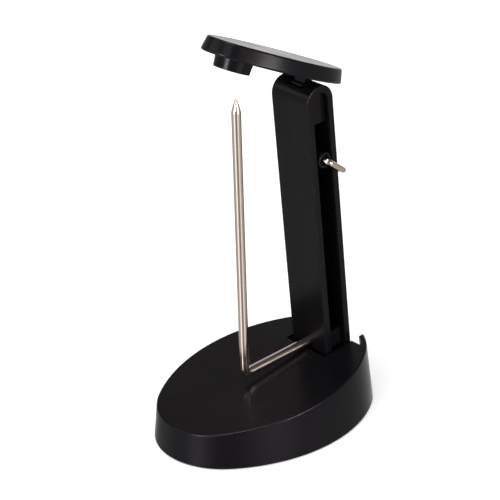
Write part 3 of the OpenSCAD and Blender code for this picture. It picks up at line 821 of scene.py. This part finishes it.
bright_steel = steel(
    "bright_steel", (0.82, 0.7, 0.61), (0.6, 0.5, 0.43), gloss=(0.14, 0.22),
    line_depth=0.000006, source="UV", stretch=(60.0, 9000.0, 1.0))
plain_steel = steel(
    "plain_steel", (0.5, 0.49, 0.47), (0.3, 0.29, 0.28), gloss=(0.3, 0.45),
    line_depth=0.000008, source="Object", stretch=(400.0, 3000.0, 3000.0))
print("steels:", bright_steel.name, plain_steel.name)

# %% [markdown]
# ## Handing each piece to its body
# Every new piece takes over from the CAD node that it was drawn from, gets a finish of its own, and rides
# on that node's body, so it moves when the cover or the bail turns. The pin and the screws could be drawn
# again too, but their shape is right already, so they stay as they are in the CAD model and only their
# finish changes.

# %% Materials, bodies and the nodes that are replaced
def hand_over(piece, material, body, node):
    """Gives a piece its finish and its body, and hides the CAD node that it replaces."""
    piece.data.materials.clear()
    piece.data.materials.append(material)
    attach(piece, body)
    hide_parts(node)


hand_over(base, black_plastic, "stand", "base")
hand_over(column, black_plastic, "stand", "column")
hand_over(cover, black_plastic, "cover", "cover")
hand_over(spike, bright_steel, "stand", "spike")
hand_over(bail, bright_steel, "bail", "bail")
for foot, node in feet:
    hand_over(foot, rubber, "stand", node)
KEPT = ("hinge_pin", "screw_left", "screw_right")
for node in KEPT:
    node_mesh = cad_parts[node].data
    node_mesh.materials.clear()
    node_mesh.materials.append(plain_steel)
print("kept from the CAD model:", KEPT)

# %% [markdown]
# ## The glow of the studio
# Black plastic and steel are drawn by what they mirror, and here that is mostly the paper on the
# table: bright in front of each softbox and towards the backdrop, dim between them. Real paper
# sweeps and softboxes could be modelled round the object, but they would stand in the way of
# other views. A node group gives the glow instead. With d as a direction made level, it is
# dim + the sum of strength * max(0, d . towards the light) ^ narrowness.

# %% The glow round the object
GLOW_DIM = 0.25
# Each glow is the azimuth it comes from in degrees, its narrowness and its strength.
GLOWS = [(4, 24, 1.4), (86, 30, 1.0), (222, 8, 0.95), (-45, 5, 0.25), (130, 6, 0.2)]

glow, glow_in, glow_out = new_group("studio_glow", [("Vector", VECTOR, None)], [("Strength", NUMBER)])
level = add(glow, "ShaderNodeVectorMath", operation="MULTIPLY")
level.inputs[1].default_value = (1, 1, 0)
heading = add(glow, "ShaderNodeVectorMath", operation="NORMALIZE")
wire_up(glow, (glow_in.outputs["Vector"], level.inputs[0]), (level.outputs[0], heading.inputs[0]))
total = None
for azimuth, narrowness, strength in GLOWS:
    angle = math.radians(azimuth)
    towards = add(glow, "ShaderNodeVectorMath", operation="DOT_PRODUCT")
    towards.inputs[1].default_value = (math.sin(angle), -math.cos(angle), 0)
    ahead = add(glow, "ShaderNodeMath", operation="MAXIMUM")
    lobe = add(glow, "ShaderNodeMath", operation="POWER")
    summed = add(glow, "ShaderNodeMath", operation="MULTIPLY_ADD")
    ahead.inputs[1].default_value, lobe.inputs[1].default_value = 0.0, narrowness
    summed.inputs[1].default_value, summed.inputs[2].default_value = strength, GLOW_DIM
    wire_up(glow, (heading.outputs[0], towards.inputs[0]), (towards.outputs["Value"], ahead.inputs[0]),
            (ahead.outputs[0], lobe.inputs[0]), (lobe.outputs[0], summed.inputs[0]))
    if total:
        wire_up(glow, (total.outputs[0], summed.inputs[2]))
    total = summed
wire_up(glow, (total.outputs[0], glow_out.inputs["Strength"]))
print("glow towards azimuths", [azimuth for azimuth, _, _ in GLOWS])

# %% [markdown]
# ## The floor
# The picture has a white ground that fades into a white backdrop. A brighter lamp would whiten
# the floor, and the object with it, so the floor is pale paper that only the camera sees
# lifted: a little near the object, where its shadow has to stay, and fully white far away. It
# lets mirrored rays through, so that the world alone gives them the glow, above the horizon and
# below it.

# %% The floor
FLOOR_RADIUS, FLOOR_THICKNESS, FLOOR_HOLE = 9000.0, 2.0, 1.0
LIFT_NEAR, LIFT_FAR = (0.2, 0.28), (1.0, 1.0)
floor_profile = [(FLOOR_HOLE, -FLOOR_THICKNESS), (FLOOR_RADIUS, -FLOOR_THICKNESS),
                 (FLOOR_RADIUS, 0.0), (FLOOR_HOLE, 0.0)]
floor = turned("floor", floor_profile, (0, 0, 0), points=96)
paper, paper_tree, paper_shader = new_material("white_paper", (0.9, 0.9, 0.9))
paper_shader.inputs["Roughness"].default_value = 0.9
paper_shader.inputs["Specular IOR Level"].default_value = 0.1
paper_shader.inputs["Emission Color"].default_value = (1, 1, 1, 1)
paper_at = paper_tree.nodes.new("ShaderNodeTexCoord").outputs["Object"]
fibres = add(paper_tree, "ShaderNodeTexNoise", Scale=900.0, Detail=3.0)
paper_tone = add(paper_tree, "ShaderNodeMapRange", From_Min=0.3, From_Max=0.7, To_Min=0.86, To_Max=0.88)
seen = paper_tree.nodes.new("ShaderNodeLightPath")
how_far = add(paper_tree, "ShaderNodeVectorMath", operation="LENGTH")
lift_there = add(paper_tree, "ShaderNodeMapRange", From_Min=LIFT_NEAR[0], From_Max=LIFT_FAR[0],
                 To_Min=LIFT_NEAR[1], To_Max=LIFT_FAR[1])
lift = add(paper_tree, "ShaderNodeMath", operation="MULTIPLY")
let_through = paper_tree.nodes.new("ShaderNodeBsdfTransparent")
either = paper_tree.nodes.new("ShaderNodeMixShader")
wire_up(paper_tree,
        (paper_at, fibres.inputs["Vector"]),
        (fibres.outputs["Fac"], paper_tone.inputs["Value"]),
        (paper_tone.outputs[0], paper_shader.inputs["Base Color"]),
        (paper_at, how_far.inputs[0]),
        (how_far.outputs["Value"], lift_there.inputs["Value"]),
        (seen.outputs["Is Camera Ray"], lift.inputs[0]),
        (lift_there.outputs[0], lift.inputs[1]),
        (lift.outputs[0], paper_shader.inputs["Emission Strength"]),
        (seen.outputs["Is Glossy Ray"], either.inputs[0]),
        (paper_shader.outputs[0], either.inputs[1]),
        (let_through.outputs[0], either.inputs[2]),
        (either.outputs[0], paper_tree.nodes["Material Output"].inputs["Surface"]))
floor.data.materials.append(paper)
print("floor reaches", FLOOR_RADIUS * MM, "m")

# %% [markdown]
# ## The world
# What the camera sees of the world is white. For light and reflections the world is bright near
# the horizon and dim overhead, like a table in front of a lit paper sweep, and it is scaled by
# the glow. An image of a real studio would do the same, but this needs only a colour ramp over
# the height of the direction.

# %% The world
FADE = [(0.0, 1.0), (0.22, 0.9), (0.45, 0.37), (1.0, 0.12)]
WARMTH = 0.94
world = bpy.data.worlds.new("studio")
world.use_nodes = True
bpy.context.scene.world = world
sky = world.node_tree
sky_shader = sky.nodes["Background"]
direction = sky.nodes.new("ShaderNodeTexCoord").outputs["Generated"]
split = sky.nodes.new("ShaderNodeSeparateXYZ")
fade = sky.nodes.new("ShaderNodeValToRGB")
stops = fade.color_ramp.elements
for stop, (height, value) in zip(stops, (FADE[0], FADE[-1])):
    stop.position, stop.color = height, (value, value, value, 1)
for height, value in FADE[1:-1]:
    stop = stops.new(height)
    stop.color = (value, WARMTH * value, WARMTH * value, 1)
camera_ray = sky.nodes.new("ShaderNodeLightPath").outputs["Is Camera Ray"]
sky_glow = use_group(sky, glow)
glowing = add(sky, "ShaderNodeVectorMath", operation="SCALE")
choose = add(sky, "ShaderNodeMix", data_type="RGBA")
choose.inputs[7].default_value = (1, 1, 1, 1)
wire_up(sky,
        (direction, split.inputs[0]),
        (split.outputs["Z"], fade.inputs["Fac"]),
        (direction, sky_glow.inputs["Vector"]),
        (fade.outputs["Color"], glowing.inputs[0]),
        (sky_glow.outputs[0], glowing.inputs["Scale"]),
        (camera_ray, choose.inputs["Factor"]),
        (glowing.outputs[0], choose.inputs[6]),
        (choose.outputs[2], sky_shader.inputs["Color"]))
print("the world fades over", FADE)

# %% [markdown]
# ## The lamps
# The photograph's highlights say where its softboxes stood. Point lamps would give hard shadows
# and small round highlights, so these are square area lamps. Two strong low ones draw the bright
# bands on the base's wall and the cup, two weak ones further round fill in what those miss, the
# one above makes the soft shadow, and a weak bluish one stands for a window.

# %% The lamps
WHITE, DAYLIGHT = (1, 1, 1), (0.78, 0.88, 1.0)
LOOK_AT = Vector((0, 0, 0.07))
# Name, azimuth and elevation in degrees, distance and size in metres, watts, colour.
LAMPS = [
    ("lamp_left", 8, 8, 1.2, 0.3, 9.0, WHITE),
    ("lamp_right", 100, 6, 1.2, 0.3, 9.0, WHITE),
    ("lamp_above", 30, 80, 1.4, 0.8, 14.0, WHITE),
    ("window_light", 30, 34, 1.3, 0.6, 3.0, DAYLIGHT),
    ("lamp_side", -36, 36, 1.3, 0.8, 2.4, WHITE),
    ("lamp_beside", 109, 12, 1.2, 0.28, 2.3, WHITE),
]


def lamp(name, azimuth, elevation, distance, size, watts, colour):
    """A square soft light that looks at the middle of the object from a direction."""
    az, el = math.radians(azimuth), math.radians(elevation)
    way = Vector((math.sin(az) * math.cos(el), -math.cos(az) * math.cos(el), math.sin(el)))
    data = bpy.data.lights.new(name, "AREA")
    data.shape, data.size, data.energy, data.color = "SQUARE", size, watts, colour
    light = bpy.data.objects.new(name, data)
    light.location = LOOK_AT + way * distance
    light.rotation_mode = "QUATERNION"
    light.rotation_quaternion = (-way).to_track_quat("-Z", "Y")
    bpy.context.scene.collection.objects.link(light)


for row in LAMPS:
    lamp(*row)
print("lamps:", [row[0] for row in LAMPS])

# %% Set the plain view transform
bpy.context.scene.view_settings.view_transform = "Standard"
